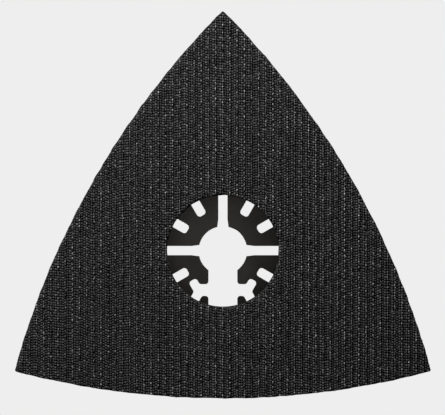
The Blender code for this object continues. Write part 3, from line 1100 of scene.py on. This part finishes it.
@dataclass(frozen=True)
class HookField:
    """The hooks: columns that lean left and right in turn, with their rows half a step apart."""

    outline: PadOutline
    skew: float
    seed: int
    every: int = 2
    columns: int = 61
    rows: int = 81
    height: float = 1.05 * MM
    root: float = 1.08 * MM
    span: float = 0.52 * MM
    thickness: float = 0.17 * MM
    sides: int = 5
    edge_gap: float = 0.60 * MM
    well_gap: float = 0.45 * MM
    wander: float = 0.12 * MM
    twist: float = math.radians(12.0)
    lean: float = math.radians(9.0)
    span_spread: float = 0.14
    height_share: float = 0.95
    height_spread: float = 0.045
    # Painted shade: with the crest at the tips and the trough near the roots, the hooks are brightest at their
    # tips and darker towards their roots.
    finish: YarnFinish = YarnFinish(
        "hook_crown",
        dark=(0.006, 0.006, 0.006), light=(0.220, 0.220, 0.217), rough=(0.60, 0.85),
        gloss=0.06, crest=0.1 * MM, trough=1.2 * MM,
    )

    # A hook's path from its root, in shares of its span and of its height.
    STEM: ClassVar[tuple[Span, ...]] = ((0.0, 0.0), (0.0, 0.42), (0.02, 0.70), (0.16, 0.90))
    CROWN: ClassVar[tuple[Span, ...]] = ((0.48, 1.0), (0.82, 0.91), (1.0, 0.72), (0.97, 0.56))

    def hook(self) -> bpy.types.Object:
        """One hook: an upright stem, a round crown and a cut end that points back down.

        Returns:
            The hook, with its root at the origin.
        """
        half = self.thickness / 2
        drop = self.height - half
        points = [Vector((x * self.span, 0.0, -z * drop)) for x, z in self.STEM + self.CROWN]
        across = Vector((0.0, 1.0, 0.0))
        turns = [math.tau * k / self.sides for k in range(self.sides)]
        mesh_data = bmesh.new()
        rows = []
        for i, point in enumerate(points):
            ahead = points[min(i + 1, len(points) - 1)] - points[max(i - 1, 0)]
            over = ahead.cross(across).normalized()
            ring = [point + half * (math.cos(t) * across + math.sin(t) * over) for t in turns]
            rows.append([mesh_data.verts.new(spot) for spot in ring])
        for low, high in zip(rows, rows[1:]):
            for k in range(self.sides):
                mesh_data.faces.new((low[k], low[k - 1], high[k - 1], high[k])).smooth = True
        mesh_data.faces.new(rows[0])
        mesh_data.faces.new(rows[-1])
        bmesh.ops.recalc_face_normals(mesh_data, faces=mesh_data.faces)
        return Meshes.linked("hook_pattern", mesh_data)

    def build(self) -> bpy.types.Object:
        """Makes the field of hooks.

        Returns:
            All the hooks as one piece.
        """
        recipe = Recipe("hook_field")
        column = recipe.given("Column Pitch", COLUMN * REPEAT)
        row = recipe.given("Row Pitch", PICK * self.every)
        columns = recipe.given("Columns", self.columns, "Int")
        rows = recipe.given("Rows", self.rows, "Int")
        root = recipe.given("Root Height", self.root)
        radius = recipe.given("Side Radius", self.outline.radius - self.edge_gap)
        well = recipe.given("Well Radius", self.outline.well + self.well_gap)
        wander = recipe.given("Wander", self.wander)
        twist = recipe.given("Twist", self.twist)
        lean = recipe.given("Lean", self.lean)
        skew = recipe.given("Skew", self.skew)
        sizes = {"Size X": column * (columns - 1), "Size Y": row * (rows - 1)}
        counts = {"Vertices X": columns, "Vertices Y": rows}
        grid = recipe.node("GeometryNodeMeshGrid", {}, {**sizes, **counts})
        place = recipe.node("GeometryNodeInputPosition")
        x = recipe.node("ShaderNodeSeparateXYZ", {}, {0: place})
        odd = (x / column).called("ROUND") % 2.0
        across = wander / 2 * self._draw(recipe, HookDraw.ACROSS)
        along = odd * row / 2 + x * skew + wander * self._draw(recipe, HookDraw.ALONG)
        shift = recipe.vector(across, along, root)
        spread = recipe.node("GeometryNodeSetPosition", {}, {"Geometry": grid, "Offset": shift})
        outside = self._apart(recipe, place, self.outline.hub) < well
        for centre in self.outline.centres:
            outside = outside + (self._apart(recipe, place, centre) > radius)
        sockets = {"Geometry": spread, "Selection": outside > 0.5}
        kept = recipe.node("GeometryNodeDeleteGeometry", {"domain": "POINT"}, sockets)
        turn = recipe.vector(
            lean * self._draw(recipe, HookDraw.TILT),
            lean * self._draw(recipe, HookDraw.LEAN),
            math.pi / 2 + odd * math.pi + twist * self._draw(recipe, HookDraw.TWIST),
        )
        size = recipe.vector(
            1.0 + self.span_spread * self._draw(recipe, HookDraw.SPAN),
            1.0,
            self.height_share + self.height_spread * self._draw(recipe, HookDraw.HEIGHT),
        )
        pattern = self.hook()
        placed = recipe.strewn(kept, pattern, Rotation=turn, Scale=size)
        base = bpy.data.meshes.new("hook_roots")
        piece = recipe.run(placed, self.finish.material(), "hook_cloth_hooks", base)
        bpy.data.objects.remove(pattern, do_unlink=True)
        return piece

    def _draw(self, recipe: Recipe, draw: HookDraw) -> Wire:
        """A random value from -1 to 1 for each hook."""
        sockets = {"Min_001": -1.0, "Max_001": 1.0, "Seed": self.seed * 10 + draw.value}
        return recipe.node("FunctionNodeRandomValue", {"data_type": "FLOAT"}, sockets, "Value_001")

    @staticmethod
    def _apart(recipe: Recipe, place: Wire, point: Vector) -> Wire:
        """Distance of each hook's root from a point of the plan.

        Args:
            recipe: the hooks' tree.
            place: the roots' places.
            point: the point.

        Returns:
            The distance in metres.
        """
        kind = "ShaderNodeVectorMath"
        flat = recipe.node(kind, {"operation": "MULTIPLY"}, {0: place, 1: (1.0, 1.0, 0.0)})
        return recipe.node(kind, {"operation": "DISTANCE"}, {0: flat, 1: point.to_3d()}, "Value")


@dataclass(frozen=True)
class HookCloth:
    """The woven ground, its monofilament warps and the hooks cut from them.

    Attributes:
        stray: how far the die's cut wanders, over stretches of stray_length.
        stray_out: a share of stray by which the cut lies outside the outline.
        ragged: how far single yarns stand out of the cut, over stretches of ragged_length.
        ragged_ends: the range of each yarn's own share of ragged.
        inset: how far inside the outline the yarns end before they stray.
        jitter: how far a yarn lies off its even pitch.
        skew: how far the picks slope across the cloth.
        uneven: how far neighbouring columns are out of step.
        drift: how much of a knuckle a column's count wanders, over stretches of drift_length.
    """

    outline: PadOutline
    top: float = 2.0 * MM
    ground: float = 1.32 * MM
    corner: float = 0.35 * MM
    edge_step: float = 0.3 * MM
    area_step: float = 0.5 * MM
    stray: float = 0.14 * MM
    stray_length: float = 2.6 * MM
    stray_out: float = 0.3
    ragged: float = 0.06 * MM
    ragged_length: float = 0.8 * MM
    ragged_ends: Span = (-1.0, 0.6)
    inset: float = 0.18 * MM
    yarns_each_way: int = 90
    knuckle_steps: int = 4
    jitter: float = 0.03 * MM
    skew: float = 0.103
    uneven: float = 0.52 * MM
    drift: float = 0.3
    drift_length: float = 2.0 * MM
    seed: int = 7
    # The ground lies at the finish's trough or deeper, so painted shade darkens all of it.
    ground_finish: YarnFinish = YarnFinish(
        "hook_ground", dark=(0.003, 0.003, 0.003), light=(0.012, 0.012, 0.012), rough=(0.75, 0.95)
    )

    YARNS: ClassVar[dict[Yarn, YarnSet]] = {
        Yarn.WARP: YarnSet(
            width=0.60 * MM, back_share=0.86, thickness=0.28 * MM,
            level=1.13 * MM, rise=0.085 * MM, pinch=0.18, halves=(Half.LEFT, Half.RIGHT),
            finish=YarnFinish(
                "hook_yarn",
                dark=(0.002, 0.002, 0.002), light=(0.106, 0.106, 0.105), rough=(0.42, 0.70),
                beaded=True, lesser=0.50, alternate=0.6,
            ),
        ),
        Yarn.WEFT: YarnSet(
            width=0.38 * MM, back_share=0.60, thickness=0.14 * MM,
            level=1.26 * MM, rise=0.0, pinch=0.0,
            finish=YarnFinish(
                "hook_weft", dark=(0.002, 0.002, 0.002), light=(0.060, 0.060, 0.060), rough=(0.50, 0.75)
            ),
        ),
        Yarn.FILAMENT: YarnSet(
            width=0.30 * MM, back_share=0.45, thickness=0.28 * MM,
            level=1.07 * MM, rise=0.085 * MM, pinch=0.24,
            finish=YarnFinish(
                "hook_filament",
                dark=(0.004, 0.004, 0.004), light=(0.400, 0.400, 0.396), rough=(0.36, 0.61),
                beaded=True, alternate=0.6,
            ),
        ),
    }

    def scrim(self) -> bpy.types.Object:
        """The coated sheet that the yarns are bound to.

        Returns:
            The sheet.
        """
        heights = [self.ground, self.top]
        walls = self.outline.walls(self.edge_step, self.corner, heights, lambda spot, _: self.frayed(spot))
        return Meshes.dressed(Meshes.rings("hook_cloth_ground", walls), self.ground_finish.material())

    def frayed(self, point: Vector) -> float:
        """How far the die's cut strays outwards.

        Args:
            point: a point of the edge.

        Returns:
            The distance in metres.
        """
        spot = Vector((point.x, point.y, 0.0))
        slow, quick = (noise.noise(spot / size) for size in (self.stray_length, self.ragged_length))
        return self.stray * (self.stray_out + slow) + self.ragged * quick

    @staticmethod
    def spot(along: float, place: float, axis: int) -> Vector:
        """The point this far along a yarn that runs along an axis at a place across it."""
        return Vector((place, along, 0.0) if axis else (along, place, 0.0))

    def lines(self, yarn: Yarn, half: Half) -> bpy.types.Mesh:
        """The runs of one set of yarns, as lines with several points to a knuckle.

        Args:
            yarn: which set.
            half: the part of the pad to cover.

        Returns:
            A mesh of edges, with an attribute that counts the knuckles along each yarn.
        """
        draw = random.Random(f"{yarn.value}{self.seed}")
        axis = 0 if yarn is Yarn.WEFT else 1
        pitch, step = (COLUMN, PICK / self.knuckle_steps) if axis else (PICK, COLUMN * REPEAT)
        points: list[Vector] = []
        turns: list[float] = []
        edges: list[tuple[int, int]] = []
        for number in range(-self.yarns_each_way, self.yarns_each_way + 1):
            if axis and (number % REPEAT == 0) != (yarn is Yarn.FILAMENT):
                continue
            place = number * pitch + draw.uniform(-self.jitter, self.jitter)
            shift = place * self.skew + draw.uniform(-self.uneven, self.uneven) / 2
            for start, end in self.outline.spans(place, axis, self.inset):
                tips = [self.spot(along, place, axis) for along in (start, end)]
                start -= self.frayed(tips[0]) + draw.uniform(*self.ragged_ends) * self.ragged
                end += self.frayed(tips[1]) + draw.uniform(*self.ragged_ends) * self.ragged
                if half.value * number < 0 or (half is Half.LEFT and number == 0):
                    continue
                first = math.ceil((start - shift) / step)
                last = math.floor((end - shift) / step)
                runs = [start, *(i * step + shift for i in range(first, last + 1)), end]
                edges += [(len(points) + i, len(points) + i + 1) for i in range(len(runs) - 1)]
                for along in runs:
                    points.append(self.spot(along, place, axis))
                    drift = noise.noise(Vector((place, along, 0.0)) / self.drift_length)
                    turns.append((along - shift) / PICK + drift * self.drift)
        mesh = bpy.data.meshes.new(f"{yarn.value}_lines")
        mesh.from_pydata(points, edges, [])
        mesh.attributes.new(TURN, "FLOAT", "POINT").data.foreach_set("value", turns)
        return mesh

    def yarns(self, yarn: Yarn) -> list[bpy.types.Object]:
        """One set of yarns, which swell and rise at each knuckle.

        Args:
            yarn: which set.

        Returns:
            The pieces that the set is made as.
        """
        form = self.YARNS[yarn]
        finish = form.finish.material()
        pieces = []
        for half in form.halves:
            recipe = Recipe(f"woven_{yarn.value}")
            level = recipe.given("Level", form.level)
            rise = recipe.given("Rise", form.rise)
            width = recipe.given("Width", form.width)
            back_share = recipe.given("Back Share", form.back_share)
            thickness = recipe.given("Thickness", form.thickness)
            pinch = recipe.given("Pinch", form.pinch)
            turn = recipe.node("GeometryNodeInputNamedAttribute", {"data_type": "FLOAT"}, {"Name": TURN})
            wave = (turn * math.tau).called("COSINE")
            curve = recipe.node("GeometryNodeMeshToCurve", {}, {"Mesh": recipe.geometry()})
            lift = recipe.vector(0.0, 0.0, level - rise * wave)
            raised = recipe.node("GeometryNodeSetPosition", {}, {"Geometry": curve, "Offset": lift})
            upright = recipe.node("GeometryNodeSetCurveNormal", {"mode": "Z_UP"}, {"Curve": raised})
            widths = {"Bottom Width": width * back_share, "Top Width": width}
            profile = recipe.node(
                "GeometryNodeCurvePrimitiveQuadrilateral",
                {"mode": "TRAPEZOID"},
                {"Height": thickness, "Offset": 0.0, **widths},
            )
            swept = {"Curve": upright, "Profile Curve": profile, "Fill Caps": True}
            swell = 1.0 - pinch * (1.0 - wave) / 2
            tube = recipe.node("GeometryNodeCurveToMesh", {}, {"Scale": swell, **swept})
            name = f"hook_cloth_{yarn.value}"
            if half is not Half.WHOLE:
                name = f"{name}_{half.name.lower()}"
            pieces.append(recipe.run(tube, finish, name, self.lines(yarn, half)))
        return pieces

    def build(self) -> list[bpy.types.Object]:
        """Makes the cloth.

        Returns:
            The ground first, then the pieces on it.
        """
        ground = Meshes.declared(self.scrim(), Slot.HOOK, "hook_cloth")
        woven = [piece for yarn in self.YARNS for piece in self.yarns(yarn)]
        woven.append(HookField(self.outline, self.skew, self.seed).build())
        for piece in woven:
            Meshes.declared(piece, Slot.HOOK)
        self.flat_area()
        return [ground, *woven]

    def flat_area(self) -> float:
        """Area of the die-cut blank.

        Returns:
            The area in square metres.
        """
        loop = [point for point, _ in self.outline.edge(self.area_step, self.corner)]
        twice = sum(a.x * b.y - a.y * b.x for a, b in zip(loop, loop[1:] + loop[:1]))
        return twice / 2 - math.pi * self.outline.well**2


@dataclass(frozen=True)
class FoamCushion:
    """The foam block: bonded flat above and below, with die-cut walls that pull in a little."""

    outline: PadOutline
    step: float = 0.30 * MM
    levels: int = 24
    pull: float = 0.22 * MM
    cell: float = 0.8 * MM
    cell_reach: float = 0.55
    pit: float = 0.10 * MM
    crease: float = math.radians(50.0)

    def drawn(self, spot: Vector, share: float) -> float:
        """How far a point of a wall moves out of the foam, which is never above zero.

        Args:
            spot: the point on the straight wall.
            share: its height as a share of the block's.

        Returns:
            The way that it moves, in metres.
        """
        if not 0.0 < share < 1.0:
            return 0.0
        near = noise.voronoi(spot / self.cell)[0]
        open_cell = max(0.0, self.cell_reach - near[0]) / self.cell_reach
        waist = 4 * share * (1 - share)
        return -self.pull * waist - self.pit * open_cell

    def build(self) -> bpy.types.Object:
        """Returns:
            The cushion.
        """
        low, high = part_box("foam_pad")
        heights = [low.z + (high.z - low.z) * level / self.levels for level in range(self.levels + 1)]
        walls = self.outline.walls(self.step, self.outline.corner, heights, self.drawn)
        piece = Meshes.dressed(Meshes.rings("foam_cushion", walls), FoamFinish().material())
        Meshes.declared(Meshes.creased(piece, self.crease), Slot.FOAM, "foam_pad")
        return piece


@dataclass(frozen=True)
class HubAndPlate:
    """The stamped hub, the moulded plate that it is riveted to, and the rivets."""

    nodes: dict[str, bpy.types.Object]
    outline: PadOutline
    hub_edge: float = 0.14 * MM
    plate_edge: float = 0.25 * MM
    rivet_count: int = 4
    head_height: float = 1.6 * MM
    head_brim: float = 0.35 * MM
    head_lip: float = 0.08 * MM
    shank: float = 1.8 * MM
    tail: float = 2.6 * MM
    tail_height: float = 0.8 * MM
    tail_chamfer: float = 0.5 * MM
    dome_rings: int = 10
    rivet_steps: int = 40
    rivet_crease: float = math.radians(40.0)
    coat: CoatedFinish = CoatedFinish(
        "black_coat", dark=(0.0170, 0.0155, 0.0130), pale=(0.0265, 0.0245, 0.0208), roughness=0.40
    )
    # A lighter, glossier coat for the rounded edges: a painted highlight along them.
    edge_highlight_coat: CoatedFinish = CoatedFinish(
        "black_coat_edge", dark=(0.0220, 0.0215, 0.0205), pale=(0.0400, 0.0390, 0.0370), roughness=0.32
    )

    def hub(self) -> bpy.types.Object:
        """The stamped hub with the slight roll-over of a punched edge, and a painted highlight in a lighter
        coat along that edge.

        Returns:
            The hub.
        """
        piece = Meshes.merged_copy(self.nodes["arbor_plate"], "stamped_hub")
        Meshes.dressed(piece, self.coat.material(), self.edge_highlight_coat.material())
        RimRounding(piece, self.hub_edge).applied(largest_alone=False)
        return Meshes.declared(piece, Slot.COATING, "arbor_plate")

    def plate(self) -> bpy.types.Object:
        """The moulded plate with its edges and rib roots rounded.

        Returns:
            The plate.
        """
        piece = Meshes.merged_copy(self.nodes["backing_plate"], "moulded_plate")
        Meshes.dressed(piece, MouldedFinish().material())
        RimRounding(piece, self.plate_edge).applied(largest_alone=True)
        return Meshes.declared(piece, Slot.MOULDING, "backing_plate")

    def rivet(self) -> bpy.types.Object:
        """One rivet about the z axis: a smooth domed head, a shank and a clenched end.

        Returns:
            The rivet, at its own height.
        """
        low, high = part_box("rivet_1")
        head = (high.x - low.x) / 2
        seat, tail = high.z - self.head_height, low.z + self.tail_height
        path = [(self.tail - self.tail_chamfer, low.z), (self.tail, tail), (self.shank, tail)]
        path += [(self.shank, seat), (head - self.head_lip, seat), (head, seat + self.head_lip)]
        brim = seat + self.head_brim
        for step in range(self.dome_rings):
            angle = math.pi / 2 * step / self.dome_rings
            path.append((head * math.cos(angle), brim + (high.z - brim) * math.sin(angle)))
        headings = [math.tau * step / self.rivet_steps for step in range(self.rivet_steps)]
        mesh_data = bmesh.new()
        foot, crown = (mesh_data.verts.new((0.0, 0.0, height)) for height in (low.z, high.z))
        rows = [
            [mesh_data.verts.new((radius * math.cos(h), radius * math.sin(h), height)) for h in headings]
            for radius, height in path
        ]
        # The faces go in one by one, because a spun mesh keeps its shape but not its order from run to run.
        for i in range(self.rivet_steps):
            mesh_data.faces.new((foot, rows[0][i], rows[0][i - 1]))
            for lower, upper in zip(rows, rows[1:]):
                mesh_data.faces.new((lower[i - 1], lower[i], upper[i], upper[i - 1]))
            mesh_data.faces.new((crown, rows[-1][i - 1], rows[-1][i]))
        return Meshes.creased(Meshes.linked("rivet_pattern", mesh_data), self.rivet_crease)

    def rivets(self, material: bpy.types.Material) -> bpy.types.Object:
        """The rivets on their circle, in place of the CAD's faceted ones.

        Args:
            material: their finish.

        Returns:
            All the rivets as one piece.
        """
        low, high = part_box("rivet_1")
        spot = Vector(((low.x + high.x) / 2, (low.y + high.y) / 2))
        recipe = Recipe("rivet_circle")
        count = recipe.given("Count", self.rivet_count, "Int")
        radius = recipe.given("Circle", (spot - self.outline.hub).length)
        centre = recipe.given("Centre", (*self.outline.hub, 0.0), "Vector")
        turn = recipe.given("Half Step", (0.0, 0.0, math.pi / self.rivet_count), "Vector")
        ring = recipe.node("GeometryNodeMeshCircle", {}, {"Vertices": count, "Radius": radius})
        sockets = {"Geometry": ring, "Translation": centre, "Rotation": turn}
        stood = recipe.node("GeometryNodeTransform", {}, sockets)
        pattern = self.rivet()
        placed = recipe.strewn(stood, pattern)
        piece = recipe.run(placed, material, "domed_rivets", bpy.data.meshes.new("rivet_circle"))
        bpy.data.objects.remove(pattern, do_unlink=True)
        names = [f"rivet_{number}" for number in range(1, self.rivet_count + 1)]
        return Meshes.declared(piece, Slot.PLATING, *names)

    def films(self, zinc: bpy.types.Material) -> None:
        """Dresses the films and washers that stay as CAD nodes.

        Args:
            zinc: the washers' finish.
        """
        film = FilmFinish().material()
        for name, node in self.nodes.items():
            if name.endswith("_adhesive"):
                Meshes.dressed(node, film)
            elif name.startswith("rivet_washer"):
                Meshes.dressed(node, zinc)

    def build(self) -> list[bpy.types.Object]:
        """Makes the hub, the plate and the rivets, and dresses the rest.

        Returns:
            The three pieces, in that order.
        """
        zinc = PlatedFinish().material()
        self.films(zinc)
        return [self.hub(), self.plate(), self.rivets(zinc)]


@dataclass(frozen=True)
class Light:
    """A light that faces the pad."""

    name: str
    place: Place

    def stood(self, data: bpy.types.Light) -> bpy.types.Object:
        """Puts a light into the scene.

        Args:
            data: Blender's data of the light.

        Returns:
            The light, at its place and turned to the pad.
        """
        lamp = bpy.data.objects.new(self.name, data)
        lamp.location = self.place
        lamp.rotation_euler = Vector(self.place).to_track_quat("Z", "Y").to_euler()
        bpy.context.scene.collection.objects.link(lamp)
        return lamp


@dataclass(frozen=True)
class SoftLamp(Light):
    """A square soft lamp of so many watts, which lights only the pieces that it is given."""

    size: float
    power: float
    tint: Colour = WHITE

    def build(self, lit: list[bpy.types.Object]) -> None:
        """Makes the lamp.

        Args:
            lit: the pieces that it lights.
        """
        data = bpy.data.lights.new(self.name, "AREA")
        data.size = self.size
        data.energy = self.power
        data.color = self.tint
        linking = self.stood(data).light_linking
        linking.receiver_collection = bpy.data.collections.new(f"{self.name}_lights")
        for piece in lit:
            linking.receiver_collection.objects.link(piece)


@dataclass(frozen=True)
class FarLight(Light):
    """A far soft light of so many watts per square metre, which falls evenly on everything."""

    spread: float
    strength: float

    def build(self) -> None:
        """Makes the light."""
        data = bpy.data.lights.new(self.name, "SUN")
        data.angle = self.spread
        data.energy = self.strength
        self.stood(data)


@dataclass(frozen=True)
class Studio:
    """Camera, floor, lamps and the pale room."""

    paper: float = 0.855
    room: float = 0.035
    lens: float = 800.0
    distance: float = 2208.0 * MM
    aim: Span = (0.09 * MM, -0.57 * MM)
    clip: Span = (0.01, 10.0)
    floor_half: float = 5.0
    face_key: SoftLamp = SoftLamp("face_key", (0.075, 0.285, -0.20), size=0.10, power=3.3)
    hub_fill: SoftLamp = SoftLamp(
        "hub_fill", (-0.10, -0.15, -0.45), size=0.75, power=1.36, tint=(1.0, 0.965, 0.90)
    )
    top_soft: SoftLamp = SoftLamp("top_soft", (-0.40, 0.60, 0.75), size=1.40, power=7.0)
    top_key: FarLight = FarLight("top_key", (0.30, -0.34, 0.52), spread=math.radians(14.0), strength=2.8)
    top_fill: FarLight = FarLight("top_fill", (-0.40, 0.20, 0.40), spread=math.radians(30.0), strength=1.5)

    def camera(self) -> None:
        """The photograph's view: square on to the hook face, from below."""
        data = bpy.data.cameras.new("camera")
        data.lens = self.lens
        data.clip_start, data.clip_end = self.clip
        camera = bpy.data.objects.new("camera", data)
        camera.location = (*self.aim, -self.distance)
        camera.rotation_euler = (math.pi, 0.0, math.pi)
        bpy.context.scene.collection.objects.link(camera)
        bpy.context.scene.camera = camera

    def room_light(self) -> None:
        """A plain pale background that lights the pad more softly than it looks."""
        world = bpy.data.worlds.new("room")
        bpy.context.scene.world = world
        world.use_nodes = True
        graph = Graph(world.node_tree)
        background = graph.tree.nodes["Background"]
        seen = graph.node("ShaderNodeLightPath", output="Is Camera Ray")
        graph.feed(background.inputs["Strength"], seen * (self.paper - self.room) + self.room)
        graph.feed(background.inputs["Color"], (*WHITE, 1.0))
        bpy.context.scene.view_settings.view_transform = "Standard"

    def floor(self) -> None:
        """A pale floor that shows only from above, so that the hook face can be seen through it."""
        mesh_data = bmesh.new()
        bmesh.ops.create_grid(mesh_data, x_segments=1, y_segments=1, size=self.floor_half)
        floor = Meshes.dressed(Meshes.linked("floor", mesh_data), FloorFinish().material())
        for ray in ("diffuse", "glossy", "shadow", "transmission"):
            setattr(floor, f"visible_{ray}", False)

    def build(
        self, cloth: list[bpy.types.Object], hub: bpy.types.Object, rest: list[bpy.types.Object]
    ) -> None:
        """Sets up the whole studio.

        Args:
            cloth: the pieces of the hook face.
            hub: the stamped hub.
            rest: the other pieces.
        """
        self.camera()
        self.room_light()
        self.floor()
        self.face_key.build(cloth)
        self.hub_fill.build([hub])
        self.top_soft.build([hub, *rest])
        self.top_key.build()
        self.top_fill.build()


def main() -> None:
    """Builds the scene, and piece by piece."""
    logging.basicConfig(level=logging.INFO, format="%(name)s: %(message)s")
    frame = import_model()
    outline = PadOutline()
    cloth = HookCloth(outline).build()
    hub, *rest = HubAndPlate(frame["nodes"], outline).build()
    rest.append(FoamCushion(outline).build())
    Studio().build(cloth, hub, rest)
    for piece in [*cloth, hub, *rest]:
        piece.data.calc_loop_triangles()
        LOG.info("%s: %d triangles", piece.name, len(piece.data.loop_triangles))


if __name__ == "__main__":
    main()
